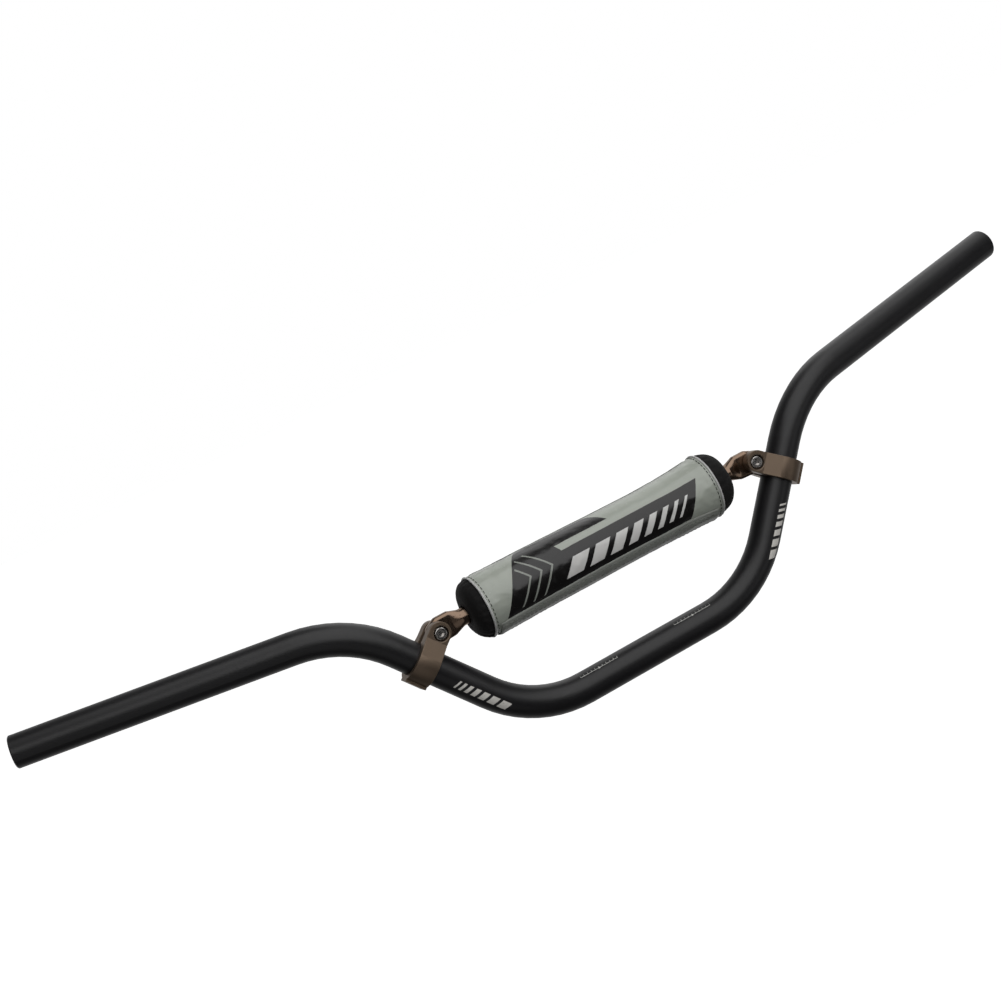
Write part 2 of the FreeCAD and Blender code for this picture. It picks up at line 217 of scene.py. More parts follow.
def inflate(obj, held, pressure, growth, cap):
    """Short cloth step on a sewn skin whose held points don't move. At most cap of the movement
    is kept, and none of it round the crossbar, so the form stays that of the blank."""
    rest = [v.co.copy() for v in obj.data.vertices]
    group = obj.vertex_groups.new(name="sewn")
    for index, weight in held:
        group.add([index], weight, "REPLACE")
    cloth = modifier(obj, "CLOTH")
    settings = cloth.settings
    settings.quality = 6
    settings.mass = 0.002
    settings.tension_stiffness = settings.compression_stiffness = 12
    settings.shear_stiffness = 6
    settings.bending_stiffness = 0.02
    settings.air_damping = 2
    settings.vertex_group_mass = "sewn"
    settings.pin_stiffness = 20
    settings.use_pressure = True
    settings.uniform_pressure_force = pressure
    settings.shrink_min = -growth
    settings.effector_weights.gravity = 0
    cloth.point_cache.frame_start, cloth.point_cache.frame_end = 1, CLOTH_FRAMES
    scene = bpy.context.scene
    for number in range(1, CLOTH_FRAMES + 1):
        scene.frame_set(number)
    graph = bpy.context.evaluated_depsgraph_get()
    moved = [v.co.copy() for v in obj.evaluated_get(graph).data.vertices]
    obj.modifiers.remove(cloth)
    scene.frame_set(1)
    for vertex, start, end in zip(obj.data.vertices, rest, moved):
        sideways = Vector((0, AXIS_Z - start.z, start.y)).normalized()
        step = end - start
        step -= sideways * step.dot(sideways)
        if step.length > cap:
            step = step * (cap / step.length)
        vertex.co = start + step
    obj.data.update()
    return obj


# --- node materials ---------------------------------------------------------------------------
class Shader:
    """A principled node material with short ways to write its node graph."""

    def __init__(self, name, **settings):
        self.material = bpy.data.materials.new(name)
        self.material.use_nodes = True
        self.tree = self.material.node_tree
        self.shader = next(n for n in self.tree.nodes if n.type == "BSDF_PRINCIPLED")
        for socket, value in settings.items():
            self.shader.inputs[socket.replace("_", " ")].default_value = value
        self.object = self.node("ShaderNodeTexCoord").outputs["Object"]

    def node(self, kind, *inputs, **settings):
        made = self.tree.nodes.new(kind)
        for key, value in settings.items():
            setattr(made, key, value)
        for index, value in enumerate(inputs):
            self.feed(made.inputs[index], value)
        return made

    def feed(self, socket, value):
        if value is None:
            return
        if isinstance(value, bpy.types.NodeSocket):
            self.tree.links.new(value, socket)
        else:
            socket.default_value = value

    def math(self, operation, *values, clamp=False):
        return self.node("ShaderNodeMath", *values, operation=operation, use_clamp=clamp).outputs[0]

    def dot(self, vector, direction):
        made = self.node("ShaderNodeVectorMath", vector, tuple(direction), operation="DOT_PRODUCT")
        return made.outputs["Value"]

    def step(self, value, low, high):
        """0 below low, 1 above high, smooth between."""
        made = self.node("ShaderNodeMapRange", value, low, high, 0.0, 1.0,
                         interpolation_type="SMOOTHSTEP")
        return made.outputs[0]

    def window(self, value, low, high, soft):
        """1 between low and high."""
        rising = self.step(value, low - soft, low + soft)
        falling = self.step(value, high - soft, high + soft)
        return self.math("SUBTRACT", rising, falling, clamp=True)

    def all_of(self, *masks):
        made = masks[0]
        for mask in masks[1:]:
            made = self.math("MULTIPLY", made, mask)
        return made

    def any_of(self, *masks):
        made = masks[0]
        for mask in masks[1:]:
            made = self.math("MAXIMUM", made, mask)
        return made

    def scaled(self, scale):
        made = self.node("ShaderNodeVectorMath", self.object, scale, operation="MULTIPLY")
        return made.outputs[0]

    def noise(self, scale, detail=3.0, vector=None):
        made = self.node("ShaderNodeTexNoise")
        self.feed(made.inputs["Vector"], vector or self.object)
        made.inputs["Scale"].default_value = scale
        made.inputs["Detail"].default_value = detail
        return made.outputs["Fac"]

    def cells(self, scale, vector=None):
        made = self.node("ShaderNodeTexVoronoi")
        self.feed(made.inputs["Vector"], vector or self.object)
        made.inputs["Scale"].default_value = scale
        return made.outputs["Distance"]

    def mix(self, factor, a, b):
        made = self.node("ShaderNodeMix", data_type="RGBA")
        colours = [s for s in made.inputs if s.type == "RGBA"]
        self.feed(made.inputs["Factor"], factor)
        self.feed(colours[0], a)
        self.feed(colours[1], b)
        return next(s for s in made.outputs if s.type == "RGBA")

    def between(self, factor, low, high):
        """low where factor is 0 and high where it is 1."""
        return self.node("ShaderNodeMapRange", factor, 0.0, 1.0, low, high).outputs[0]

    def bump(self, height, distance, strength=1.0, under=None):
        made = self.node("ShaderNodeBump")
        made.inputs["Strength"].default_value = strength
        made.inputs["Distance"].default_value = distance
        self.feed(made.inputs["Height"], height)
        self.feed(made.inputs["Normal"], under)
        return made.outputs["Normal"]

    def finish(self, colour=None, roughness=None, normal=None):
        self.feed(self.shader.inputs["Base Color"], colour)
        self.feed(self.shader.inputs["Roughness"], roughness)
        self.feed(self.shader.inputs["Normal"], normal)
        return self.material

    def edges(self, radius):
        """1 along the edges of the shape, in a band as wide as radius."""
        rounded = self.node("ShaderNodeBevel", radius, samples=6).outputs[0]
        flat = self.node("ShaderNodeNewGeometry").outputs["Normal"]
        same = self.node("ShaderNodeVectorMath", rounded, flat, operation="DOT_PRODUCT")
        return self.math("SUBTRACT", 1.0, self.step(same.outputs["Value"], 0.80, 0.97))

    def split(self, vector=None):
        return self.node("ShaderNodeSeparateXYZ", vector or self.object).outputs

    def angle(self, y, z):
        """Degrees above the front (-Y)."""
        radians = self.math("ARCTAN2", z, self.math("MULTIPLY", y, -1.0))
        return self.math("MULTIPLY", radians, 180 / math.pi)


def rgb(red, green, blue):
    return (red, green, blue, 1.0)


def bar_finish():
    """Satin black anodising with a blasted grain, an etched scale and printed riser stripes."""
    s = Shader("bar_black", Specular_IOR_Level=0.5)
    x, y, z = s.split()
    side = s.math("ABSOLUTE", x)
    grain = s.noise(2600.0, 2.0)
    cloud = s.noise(38.0, 4.0)
    scuff = s.step(s.noise(160.0, 6.0, s.scaled((0.12, 1.0, 1.0))), 0.66, 0.8)
    base = s.mix(cloud, rgb(0.0042, 0.0040, 0.0046), rgb(0.0072, 0.0068, 0.0080))
    base = s.mix(s.math("MULTIPLY", scuff, 0.25), base, rgb(0.03, 0.03, 0.032))

    # etched scale, one on each side of the middle: a long line with short ticks above it
    turn = s.angle(y, z)
    line = s.window(turn, 53.0, 54.8, 0.5)
    span = s.window(side, 23.3 * MM, 53.0 * MM, 0.1 * MM)
    pitch = 2.95 * MM
    phase = s.math("MODULO", s.math("ADD", side, pitch / 2 - 38.2 * MM + 20 * pitch), pitch)
    tick = s.window(phase, pitch / 2 - 0.13 * MM, pitch / 2 + 0.13 * MM, 0.05 * MM)
    tick = s.all_of(tick, s.window(turn, 54.5, 62.0, 0.6))
    centre = s.all_of(s.window(side, 37.7 * MM, 38.7 * MM, 0.1 * MM), s.window(turn, 50.5, 57.5, 0.8))
    in_middle = s.step(s.math("MULTIPLY", side, -1.0), -0.06, -0.055)
    etched = s.all_of(s.any_of(s.all_of(s.any_of(line, tick), span), centre), in_middle)

    # printed stripes along the front of each riser
    run = Vector((0.63267, 0.0, 0.77442))
    outside = Vector((run.z, 0.0, -run.x))
    mirrored = s.node("ShaderNodeCombineXYZ", side, y, z).outputs[0]
    bend = (0.089, 0.0, 0.0)
    from_bend = s.node("ShaderNodeVectorMath", mirrored, bend, operation="SUBTRACT").outputs[0]
    along = s.math("MULTIPLY", s.dot(from_bend, run), 1000.0)
    tilt = s.angle(y, s.dot(from_bend, outside))
    across = s.math("MULTIPLY", tilt, TUBE_R * 1000 * math.pi / 180)
    slanted = s.math("SUBTRACT", along, s.math("MULTIPLY", across, 0.42))
    stripes = None
    start = 23.0
    for width in (6.5, 5.4, 4.4, 3.5, 2.7, 2.0, 1.4):
        stripe = s.window(slanted, start, start + width, 0.12)
        stripes = stripe if stripes is None else s.any_of(stripes, stripe)
        start += width + 2.2
    band = s.window(across, 1.2, 7.2, 0.12)
    printed = s.all_of(stripes, band, s.window(z, 8 * MM, 62 * MM, 1 * MM))

    chips = s.step(s.noise(900.0, 3.0), 0.62, 0.7)
    printed = s.math("MULTIPLY", printed, s.between(chips, 1.0, 0.75))
    colour = s.mix(s.math("MULTIPLY", etched, 0.9), base, rgb(0.62, 0.62, 0.59))
    colour = s.mix(printed, colour, rgb(0.68, 0.66, 0.62))
    rough = s.between(s.noise(300.0, 4.0), 0.34, 0.43)
    rough = s.math("SUBTRACT", rough, s.math("MULTIPLY", scuff, 0.06))
    height = s.math("SUBTRACT", s.math("MULTIPLY", grain, 0.5), s.math("MULTIPLY", etched, 1.2))
    return s.finish(colour, rough, s.bump(height, 0.02 * MM, 0.55))


def bronze_finish(name, deep, gloss, metal):
    """Bronze anodised aluminium: fine tumbled grain, faint machining rings, paler worn edges."""
    s = Shader(name, Metallic=metal, Specular_IOR_Level=0.4)
    cloud = s.noise(70.0, 4.0)
    grain = s.noise(2400.0, 2.0)
    lathe = s.noise(900.0, 2.0, s.scaled((1.0, 0.06, 0.06)))
    base = s.mix(cloud, deep, rgb(*[c * 1.08 for c in deep[:3]]))
    speck = s.step(s.noise(700.0, 2.0), 0.66, 0.74)
    base = s.mix(s.math("MULTIPLY", speck, 0.2), base, rgb(*[c * 0.6 for c in deep[:3]]))
    worn = s.math("MULTIPLY", s.edges(0.45 * MM), s.step(s.noise(260.0, 3.0), 0.30, 0.6))
    colour = s.mix(s.math("MULTIPLY", worn, 0.7), base, rgb(0.50, 0.42, 0.35))
    rough = s.between(s.noise(420.0, 3.0), gloss, gloss + 0.06)
    height = s.math("ADD", s.math("MULTIPLY", grain, 0.5), s.math("MULTIPLY", lathe, 0.5))
    return s.finish(colour, rough, s.bump(height, 0.02 * MM, 0.4))


def steel_finish():
    """Bright zinc-plated bolt steel with turned rings and dull marks in the socket."""
    s = Shader("bolt_steel", Metallic=1.0)
    ring = s.noise(1500.0, 2.0, s.scaled((1.0, 0.1, 1.0)))
    dull = s.step(s.noise(420.0, 4.0), 0.5, 0.68)
    colour = s.mix(dull, rgb(0.58, 0.56, 0.54), rgb(0.20, 0.19, 0.18))
    rough = s.between(dull, 0.20, 0.40)
    return s.finish(colour, rough, s.bump(ring, 0.02 * MM, 0.4))


VINYL_LIGHT = rgb(0.325, 0.347, 0.306)
PRINT_DARK = rgb(0.0045, 0.0040, 0.0040)
PRINT_WHITE = rgb(0.60, 0.595, 0.58)
SLANT = 0.2146                            # mm of x for each degree round the pad


def vinyl_relief(s):
    """Fine leather-like grain and soft handling creases for the coated cloth."""
    grain = s.cells(1500.0)
    weave = s.noise(520.0, 2.0)
    crease = s.noise(46.0, 3.0, s.scaled((0.6, 1.0, 1.0)))
    fine = s.math("ADD", s.math("MULTIPLY", grain, 0.35), s.math("MULTIPLY", weave, 0.35))
    soft = s.bump(crease, 0.5 * MM, 0.12)
    return s.bump(fine, 0.03 * MM, 0.35, soft)


def vinyl_finish():
    """Grey-green coated cloth, printed with slanted dark panels, plain bars and three open chevron
    lines."""
    s = Shader("pad_vinyl_printed", Specular_IOR_Level=0.6)
    x, y, z = s.split()
    turn = s.angle(y, s.math("SUBTRACT", z, AXIS_Z))
    x = s.math("MULTIPLY", x, 1000.0)
    lean = s.math("SUBTRACT", x, s.math("MULTIPLY", turn, SLANT))
    edge = 0.12

    right_of_left_edge = s.step(lean, -76.4 - edge, -76.4 + edge)
    lower = s.window(turn, -37.0, 31.5, 0.4)
    upper = s.window(turn, 46.5, 133.0, 0.4)
    main_end = s.step(s.math("MULTIPLY", lean, -1.0), -70.4 - edge, -70.4 + edge)
    main = s.all_of(lower, right_of_left_edge, main_end)
    tip = s.math("ADD", x, s.math("MULTIPLY", turn, 0.255))
    second_end = s.step(s.math("MULTIPLY", tip, -1.0), -20.5 - edge, -20.5 + edge)
    second = s.all_of(upper, right_of_left_edge, second_end)
    back_step = s.math("SUBTRACT", s.math("MULTIPLY", x, -1.0), s.math("MULTIPLY", turn, 0.16))
    between_panels = s.window(turn, 30.0, 48.0, 0.4)
    bridge_end = s.step(back_step, 26.0 - edge, 26.0 + edge)
    bridge = s.all_of(between_panels, right_of_left_edge, bridge_end)
    dark = s.any_of(main, second, bridge)

    bars = None
    start = -30.0
    italic = s.math("SUBTRACT", x, s.math("MULTIPLY", turn, 0.30))
    for width in (13.5, 11.5, 9.5, 7.5, 6.0, 4.5, 3.2, 2.2):
        bar = s.window(italic, start, start + width, edge)
        bars = bar if bars is None else s.any_of(bars, bar)
        start += width + 5.0
    bars = s.all_of(bars, s.window(turn, -22.0, 11.0, 0.4))

    fold = s.math("ABSOLUTE", s.math("SUBTRACT", turn, 16.0))
    arrow = s.math("ADD", x, s.math("MULTIPLY", fold, 0.28))
    lines = s.any_of(*[s.window(arrow, at, at + 1.6, edge) for at in (-42.5, -51.0, -59.5)])
    lines = s.all_of(lines, s.window(turn, -30.0, 64.0, 0.5), s.step(lean, -74.5, -74.3))

    fade = s.noise(24.0, 4.0)
    dust = s.step(s.noise(330.0, 5.0), 0.60, 0.78)
    light = s.mix(s.math("MULTIPLY", fade, 0.35), VINYL_LIGHT, rgb(0.318, 0.340, 0.298))
    light = s.mix(s.math("MULTIPLY", dust, 0.10), light, rgb(0.20, 0.21, 0.185))
    ink = s.mix(s.math("MULTIPLY", dust, 0.35), PRINT_DARK, rgb(0.012, 0.011, 0.011))
    colour = s.mix(dark, light, ink)
    colour = s.mix(lines, colour, rgb(0.23, 0.243, 0.22))
    colour = s.mix(bars, colour, PRINT_WHITE)
    rough = s.between(s.noise(120.0, 4.0), 0.20, 0.30)
    rough = s.math("ADD", rough, s.math("MULTIPLY", dust, 0.06))
    return s.finish(colour, rough, vinyl_relief(s))


def plain_vinyl_finish(name, tone):
    """Unprinted coated cloth."""
    s = Shader(name, Specular_IOR_Level=0.5)
    fade = s.noise(30.0, 4.0)
    darker = rgb(*[c * 0.8 for c in tone[:3]])
    colour = s.mix(fade, tone, darker)
    rough = s.between(s.noise(150.0, 4.0), 0.27, 0.40)
    return s.finish(colour, rough, vinyl_relief(s))


def fabric_finish():
    """Black stretch cloth: a fine knit with a dull sheen, dusty on its high spots."""
    s = Shader("cap_fabric", Specular_IOR_Level=0.2, Sheen_Weight=0.04, Sheen_Roughness=0.45)
    x, y, z = s.split()
    turn = s.math("ARCTAN2", s.math("SUBTRACT", z, AXIS_Z), y)
    wale = s.math("SINE", s.math("MULTIPLY", turn, 150.0))
    course = s.math("SINE", s.math("MULTIPLY", x, 2 * math.pi / (0.9 * MM)))
    knit = s.math("MULTIPLY", wale, course)
    fluff = s.noise(1300.0, 3.0)
    dust = s.step(s.noise(180.0, 4.0), 0.5, 0.8)
    base = s.mix(fluff, rgb(0.0035, 0.0034, 0.0036), rgb(0.0100, 0.0095, 0.0093))
    colour = s.mix(s.math("MULTIPLY", dust, 0.3), base, rgb(0.014, 0.0133, 0.0128))
    height = s.math("ADD", s.math("MULTIPLY", knit, 0.4), fluff)
    return s.finish(colour, s.between(fluff, 0.7, 0.9), s.bump(height, 0.12 * MM, 0.7))


def foam_finish():
    """Open-cell grey foam."""
    s = Shader("pad_foam", Specular_IOR_Level=0.2)
    cells = s.cells(950.0)
    colour = s.mix(s.step(cells, 0.2, 0.6), rgb(0.05, 0.05, 0.052), rgb(0.13, 0.13, 0.135))
    return s.finish(colour, s.between(s.noise(200.0), 0.85, 0.97), s.bump(cells, 0.5 * MM, 0.8))


def tape_finish(name, scale, tone):
    """Hook or loop tape: a dense field of tiny fibres."""
    s = Shader(name, Specular_IOR_Level=0.2, Sheen_Weight=0.3, Sheen_Roughness=0.5)
    fibres = s.cells(scale)
    tangle = s.noise(scale * 0.8, 4.0)
    colour = s.mix(tangle, tone, rgb(*[c * 2.2 for c in tone[:3]]))
    height = s.math("ADD", fibres, tangle)
    return s.finish(colour, s.between(tangle, 0.75, 0.92), s.bump(height, 0.2 * MM, 0.8))


def thread_finish(name, tone):
    """Twisted sewing thread."""
    s = Shader(name, Specular_IOR_Level=0.35)
    twist = s.noise(3800.0, 2.0, s.scaled((0.4, 1.0, 1.0)))
    colour = s.mix(twist, tone, rgb(*[c * 0.55 for c in tone[:3]]))
    return s.finish(colour, s.between(twist, 0.5, 0.7), s.bump(twist, 0.06 * MM, 0.7))


# --- pad pieces -------------------------------------------------------------------------------
COVER_START_DEG = CLOSURE_DEG + SLIT_DEG / 2
COVER_SWEEP_DEG = 360 - SLIT_DEG


def cover_blank(rows, columns):
    """Grid of the cover's outside, a touch inside the measured radii, with a slight ripple."""
    x0, x1 = LEFT_PIPING_X + 0.6 * MM, RIGHT_PIPING_X - 0.6 * MM
    points = []
    for r in range(rows):
        x = x0 + (x1 - x0) * r / (rows - 1)
        for c in range(columns):
            degrees = COVER_START_DEG + COVER_SWEEP_DEG * c / (columns - 1)
            a = math.radians(degrees)
            ripple = noise.noise(Vector((x * 45, math.cos(a) * 1.3, math.sin(a) * 1.3)))
            radius = cover_radius(x, degrees) - 0.10 * MM + ripple * 0.06 * MM
            points.append(around(x, degrees, radius))
    return points


def pad_cover():
    """Coated cloth sleeve, open along the closure."""
    rows, columns = 92, 110
    faces = [tuple(reversed(face)) for face in grid_faces(rows, columns, False)]
    cover = new_object("pad_vinyl_cover", cover_blank(rows, columns), faces)
    held = []
    for r in range(rows):
        for c in range(columns):
            if r in (0, rows - 1) or c in (0, columns - 1):
                held.append((r * columns + c, 1.0))
    inflate(cover, held, CLOTH_PRESSURE, 0.003, 0.22 * MM)
    press_grooves(cover)
    modifier(cover, "SOLIDIFY", thickness=COVER_WALL, offset=-1.0)
    modifier(cover, "SUBSURF", levels=1, render_levels=1)
    return cover


def press_grooves(cover):
    """Seam grooves beside both piping welts, where the stitching pulls the cover in, and the
    small puckers that run from them."""
    for vertex in cover.data.vertices:
        x = vertex.co.x
        from_seam = min(x - LEFT_PIPING_X, RIGHT_PIPING_X - x)
        out = Vector((0, vertex.co.y, vertex.co.z - AXIS_Z))
        degrees = math.degrees(math.atan2(out.z, -out.y))
        groove = math.exp(-((from_seam - GROOVE_FROM_PIPING) / (0.75 * MM)) ** 2)
        fade = math.exp(-from_seam / (9 * MM))
        pucker = math.sin(math.radians(degrees) * 31 + 3 * noise.noise(out * 90)) * 0.10 * MM * fade
        vertex.co = vertex.co + out.normalized() * (pucker - 0.55 * MM * groove)
    cover.data.update()


def skin_tree(obj):
    """Tree for finding points on obj as it is shown."""
    graph = bpy.context.evaluated_depsgraph_get()
    graph.update()
    return BVHTree.FromObject(obj, graph)


def on_skin(tree, x, degrees, lift=0.0):
    """Point on a pad skin at that place round the crossbar, lifted off it.

    Known fault: where the skin is the cover and the angle lies in its
    closure slit, the ray goes through and lands on the far wall.
    """
    away = away_at(degrees)
    start = around(x, degrees, RAY_FROM)
    hit, _, _, _ = tree.ray_cast(start, -away)
    if hit is None:
        return around(x, degrees, cover_radius(x, degrees) + lift)
    return hit + away * lift


def pad_piping(name, tree, x, inward):
    """Piping welt caught in the seam beside the cover's end."""
    points, radii = [], []
    count = 180
    for i in range(count):
        degrees = 360 * i / count
        point = on_skin(tree, x + inward * SEAM_FROM_PIPING, degrees, 0.22 * MM)
        wobble = noise.noise(point * 120) * 0.12 * MM
        points.append(Vector((x + wobble, point.y, point.z)))
        radii.append(PIPING_R * (1 + 0.05 * noise.noise(point * 400)))
    vertices, faces = tube_along(points, radii, 14, True)
    return outward(new_object(name, vertices, faces))


def pad_cap(name, seam, face, tree, swell_seed):
    """Sewn dome from the piping seam to the crossbar, gathered at the seam and creased."""
    rows, columns = 26, 132
    outward_x = 1 if face > seam else -1
    depth = abs(face - seam)
    points, held = [], []
    for r in range(rows):
        t = r / (rows - 1) * math.pi / 2
        reach = math.sin(t)
        spread = math.cos(t) ** 0.72
        for c in range(columns):
            degrees = 360 * c / columns
            seam_point = on_skin(tree, seam - outward_x * SEAM_FROM_PIPING, degrees, -0.5 * MM)
            seam_r = Vector((0, seam_point.y, seam_point.z - AXIS_Z)).length
            a = math.radians(degrees)
            swell = noise.noise(Vector((math.cos(a) * 1.1, math.sin(a) * 1.1, swell_seed)))
            gather = math.sin(a * 23 + 2.2 * swell) * 0.16 * MM
            gather *= math.sin(min(1.0, r / 8) * math.pi)
            radius = CAP_HOLE_R + (seam_r - CAP_HOLE_R) * spread + gather
            lump = (1 + 0.05 * swell) if 0 < r < rows - 1 else 1.0
            x = seam + outward_x * depth * min(1.0, reach * (0.93 * lump if r < rows - 1 else 1.0))
            points.append(around(x, degrees, radius))
            if r in (0, rows - 1):
                held.append((r * columns + c, 1.0))
    cap = new_object(name, points, grid_faces(rows, columns, True))
    outward(cap)
    inflate(cap, held, CLOTH_PRESSURE, 0.012, 0.5 * MM)
    for vertex in cap.data.vertices:
        limit = face * outward_x
        if vertex.co.x * outward_x > limit:
            vertex.co.x = limit * outward_x
    cap.data.update()
    modifier(cap, "SOLIDIFY", thickness=CAP_WALL, offset=-1.0)
    modifier(cap, "SUBSURF", levels=1, render_levels=1)
    return cap


def strip_solid(name, tree, x0, x1, low_deg, high_deg, lift, thickness, rows, columns):
    """Sewn strip that lies on the cover: a closed thin solid between two angles, which may be
    functions of x."""
    inner, outer = [], []
    for r in range(rows):
        u = r / (rows - 1)
        x = x0 + (x1 - x0) * u
        low, high = low_deg(x), high_deg(x)
        for c in range(columns):
            v = c / (columns - 1)
            degrees = low + (high - low) * v
            edge = min(v, 1 - v) * (columns - 1)
            end = min(u, 1 - u) * (rows - 1)
            rounding = min(1.0, 0.45 + 0.55 * min(edge, end))
            point = on_skin(tree, x, degrees)
            away = Vector((0, point.y, point.z - AXIS_Z)).normalized()
            base = lift(x, v)
            inner.append(point + away * base)
            outer.append(point + away * (base + thickness * rounding))
    count = rows * columns
    faces = grid_faces(rows, columns, False)
    faces += [tuple(reversed(f)) for f in grid_faces(rows, columns, False, count)]
    border = list(range(columns))
    border += [r * columns + columns - 1 for r in range(1, rows)]
    border += [(rows - 1) * columns + c for c in reversed(range(columns - 1))]
    border += [r * columns for r in reversed(range(1, rows - 1))]
    for a, b in zip(border, border[1:] + border[:1]):
        faces.append((b, a, a + count, b + count))
    return outward(new_object(name, inner + outer, faces))


def stitch(a, b, away):
    """One stitch of thread that dives into the cloth at both ends."""
    points, radii = [], []
    for t, rise, size in ((0, -0.5, 0.6), (0.2, 0.35, 0.95), (0.5, 0.6, 1.0), (0.8, 0.35, 0.95),
                          (1, -0.5, 0.6)):
        points.append(a.lerp(b, t) + away * (rise * STITCH_R))
        radii.append(STITCH_R * size)
    return tube_along(points, radii, 7)


def stitches_round(tree, x):
    """Stitches all round the pad at one x."""
    radius = cover_radius(x, 0)
    count = int(2 * math.pi * radius / STITCH_PITCH)
    made = []
    for i in range(count):
        low, high = 360 * (i + 0.12) / count, 360 * (i + 0.88) / count
        away = away_at((low + high) / 2)
        made.append(stitch(on_skin(tree, x, low), on_skin(tree, x, high), away))
    return made


def stitches_along(tree, degrees_at, x0, x1):
    """A straight seam along the pad, at an angle that is a function of x."""
    count = int((x1 - x0) / STITCH_PITCH)
    made = []
    for i in range(count):
        a, b = x0 + (i + 0.12) * STITCH_PITCH, x0 + (i + 0.88) * STITCH_PITCH
        away = away_at(degrees_at(a))
        made.append(stitch(on_skin(tree, a, degrees_at(a)), on_skin(tree, b, degrees_at(b)), away))
    return made


def foam_core():
    """Foam sleeve with a lengthways slit and softened ends."""
    half = min(-foam_low.x, foam_high.x) - 1.5 * MM
    soft = 7 * MM
    profile = []
    for i in range(25):
        profile.append((-half + soft + (2 * half - 2 * soft) * i / 24, FOAM_R))
    for i in range(1, 9):
        a = math.pi / 2 * i / 9
        profile.append((half - soft + soft * math.sin(a), FOAM_R - soft + soft * math.cos(a)))
    profile += [(half, FOAM_R - soft), (half, FOAM_BORE + 1 * MM), (half - 1 * MM, FOAM_BORE)]
    profile += [(half - 1 * MM - (2 * half - 2 * MM) * i / 24, FOAM_BORE) for i in range(1, 25)]
    profile += [(-half, FOAM_BORE + 1 * MM), (-half, FOAM_R - soft)]
    for i in range(1, 9):
        a = math.pi / 2 * (1 - i / 9)
        profile.append((-half + soft - soft * math.sin(a), FOAM_R - soft + soft * math.cos(a)))
    count, turns = len(profile), 73
    vertices = []
    for k in range(turns):
        degrees = COVER_START_DEG + COVER_SWEEP_DEG * k / (turns - 1)
        for x, radius in profile:
            lump = 0
            if radius > FOAM_BORE + 2 * MM:
                lump = noise.noise(Vector((x * 60, degrees * 0.05, 0.3))) * 0.25 * MM
            vertices.append(around(x, degrees, radius + lump))
    faces = grid_faces(turns, count, True)
    faces.append(tuple(range(count)))
    faces.append(tuple(reversed(range((turns - 1) * count, turns * count))))
    return outward(new_object("pad_foam_sleeve", vertices, faces))


# --- build ------------------------------------------------------------------------------------
def give(obj, material, body):
    """Material, slot and body for one piece."""
    obj.data.materials.clear()
    obj.data.materials.append(material)
    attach(obj, body)
    return obj


def make_pad():
    """The pad's pieces, each on the body it moves with."""
    printed = vinyl_finish()
    # The flap is the same vinyl as the cover. Its darker tone here (0.255 against 0.325) is painted
    # shade for its place low on the pad's front and underside.
    plain = plain_vinyl_finish("pad_vinyl_plain_painted_shade", rgb(0.255, 0.266, 0.243))
    piping = plain_vinyl_finish("piping_vinyl", rgb(0.50, 0.50, 0.49))
    fabric = fabric_finish()
    dark_thread = thread_finish("thread_dark", rgb(0.028, 0.028, 0.026))
    grey_thread = thread_finish("thread_grey", rgb(0.20, 0.21, 0.19))

    foam = give(foam_core(), foam_finish(), "pad_core")
    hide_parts("pad_foam_core")

    cover = give(pad_cover(), printed, "pad_shell")
    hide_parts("pad_cover")
    skin = skin_tree(cover)

    strip_low, strip_high = CLOSURE_DEG - STRIP_HALF_DEG, CLOSURE_DEG + STRIP_HALF_DEG
    x0, x1 = LEFT_PIPING_X + 6 * MM, RIGHT_PIPING_X - 6 * MM
    loop = strip_solid("pad_loop_tape", skin, x0, x1, lambda x: strip_low, lambda x: strip_high,
                       lambda x, v: 0.03 * MM, TAPE_WALL, 60, 12)
    hook = strip_solid("pad_hook_tape", skin, x0, x1, lambda x: strip_low, lambda x: strip_high,
                       lambda x, v: 0.46 * MM, TAPE_WALL, 60, 12)
    loop_fibres = tape_finish("loop_tape", 2600.0, rgb(0.014, 0.014, 0.014))
    hook_fibres = tape_finish("hook_tape", 3600.0, rgb(0.018, 0.018, 0.018))
    give(loop, loop_fibres, "pad_shell")
    give(hook, hook_fibres, "pad_shell")
    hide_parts("pad_loop_strip")
    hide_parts("pad_hook_strip")

    def flap_top(x):
        return line_value(FLAP_TOP_DEG, x / MM)

    def flap_lift(x, v):
        over_tape = min(1.0, max(0.0, min((1 - v) * 4.4, v * 5.5)))
        return (0.08 + 0.82 * over_tape * over_tape * (3 - 2 * over_tape)) * MM

    flap = strip_solid("pad_flap", skin, LEFT_PIPING_X + 3.9 * MM, RIGHT_PIPING_X - 3.9 * MM,
                       lambda x: FLAP_BOTTOM_DEG, flap_top, flap_lift, FLAP_WALL, 110, 40)
    # the flap wears the darker copy of the cover's vinyl, whose darkness is painted shade
    give(flap, plain, "pad_shell")
    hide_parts("pad_closure_flap")
    flap_skin = skin_tree(flap)
    rows = [lambda x: flap_top(x) - 7.0, lambda x: strip_high - 3.0, lambda x: strip_low + 3.0]
    parts = []
    for row in rows:
        parts += stitches_along(flap_skin, row, LEFT_PIPING_X + 6 * MM, RIGHT_PIPING_X - 6 * MM)
    give(joined("pad_flap_stitching", parts), grey_thread, "pad_shell")

    for node, seam, inward, face, seed in (
            ("pad_left", LEFT_PIPING_X, 1, LEFT_FACE_X, 0.7),
            ("pad_right", RIGHT_PIPING_X, -1, RIGHT_FACE_X, 4.9)):
        cord = pad_piping(node + "_piping_welt", skin, seam, inward)
        give(cord, piping, "pad_shell")
        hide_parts(node + "_piping")
        cap = pad_cap(node + "_cap", seam - inward * 0.5 * MM, face, skin, seed)
        give(cap, fabric, "pad_shell")
        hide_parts(node + "_end_cap")
        ring = joined(node + "_stitching", stitches_round(skin, seam + inward * GROOVE_FROM_PIPING))
        give(ring, dark_thread, "pad_shell")


